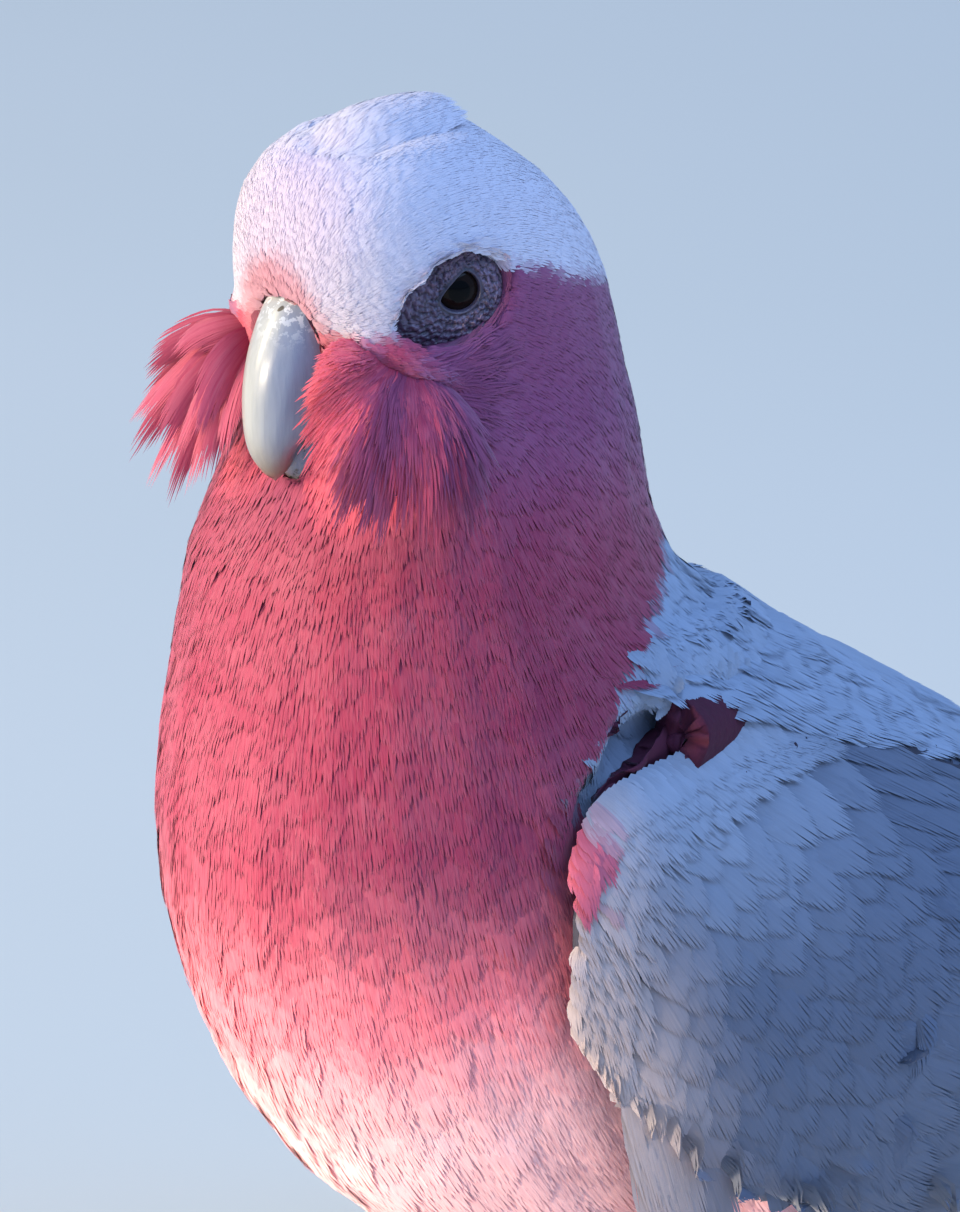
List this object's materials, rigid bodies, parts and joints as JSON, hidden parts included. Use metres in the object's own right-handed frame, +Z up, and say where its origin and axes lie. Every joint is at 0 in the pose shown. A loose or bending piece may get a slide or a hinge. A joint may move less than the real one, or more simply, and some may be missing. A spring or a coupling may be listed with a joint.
{
  "type": "galah figure",
  "caption": "Life-size still model of a standing pink and grey cockatoo with a pale crown, flared cheek feathers, folded wings and gripping feet.",
  "frame": {"origin": "bottom centre of the bounding box, on the ground under the belly", "axes": "the bird faces -Y, its left side is +X, and +Z is up"},
  "size_m": [0.0952, 0.3, 0.2175],
  "materials": {
    "crown_white": "fine matte feathers, white with a pink flush",
    "rose_pink": "soft matte feathers, rose pink",
    "wing_grey": "soft matte feathers, blue-grey",
    "flight_grey": "smooth flight feathers, slate grey",
    "bill_horn": "polished horn, bone white",
    "eye_dark": "wet gloss, near black",
    "bare_skin": "wrinkled bare skin, mauve grey",
    "leg_scale": "scaly skin, warm grey",
    "claw_horn": "dark horn, half gloss"
  },
  "bodies": {
    "root": {"head": "crown_white", "crest": "crown_white", "upper_bill": "bill_horn", "lower_bill": "bill_horn", "eye_left": "eye_dark", "eye_right": "eye_dark", "eye_ring_left": "bare_skin", "eye_ring_right": "bare_skin", "cheek_left": "rose_pink", "cheek_right": "rose_pink", "neck": "rose_pink", "trunk": "rose_pink", "mantle": "wing_grey", "wing_left_coverts": "wing_grey", "wing_right_coverts": "wing_grey", "wing_left_secondaries": "wing_grey", "wing_right_secondaries": "wing_grey", "wing_left_primaries": "flight_grey", "wing_right_primaries": "flight_grey", "tail_centre": "wing_grey", "tail_left": "flight_grey", "tail_right": "flight_grey", "thigh_left": "rose_pink", "thigh_right": "rose_pink", "shank_left": "leg_scale", "shank_right": "leg_scale", "foot_left": "leg_scale", "foot_right": "leg_scale", "claw_left_front_inner": "claw_horn", "claw_right_front_inner": "claw_horn", "claw_left_front_outer": "claw_horn", "claw_right_front_outer": "claw_horn", "claw_left_back_outer": "claw_horn", "claw_right_back_outer": "claw_horn", "claw_left_back_inner": "claw_horn", "claw_right_back_inner": "claw_horn"}
  },
  "joints": []
}
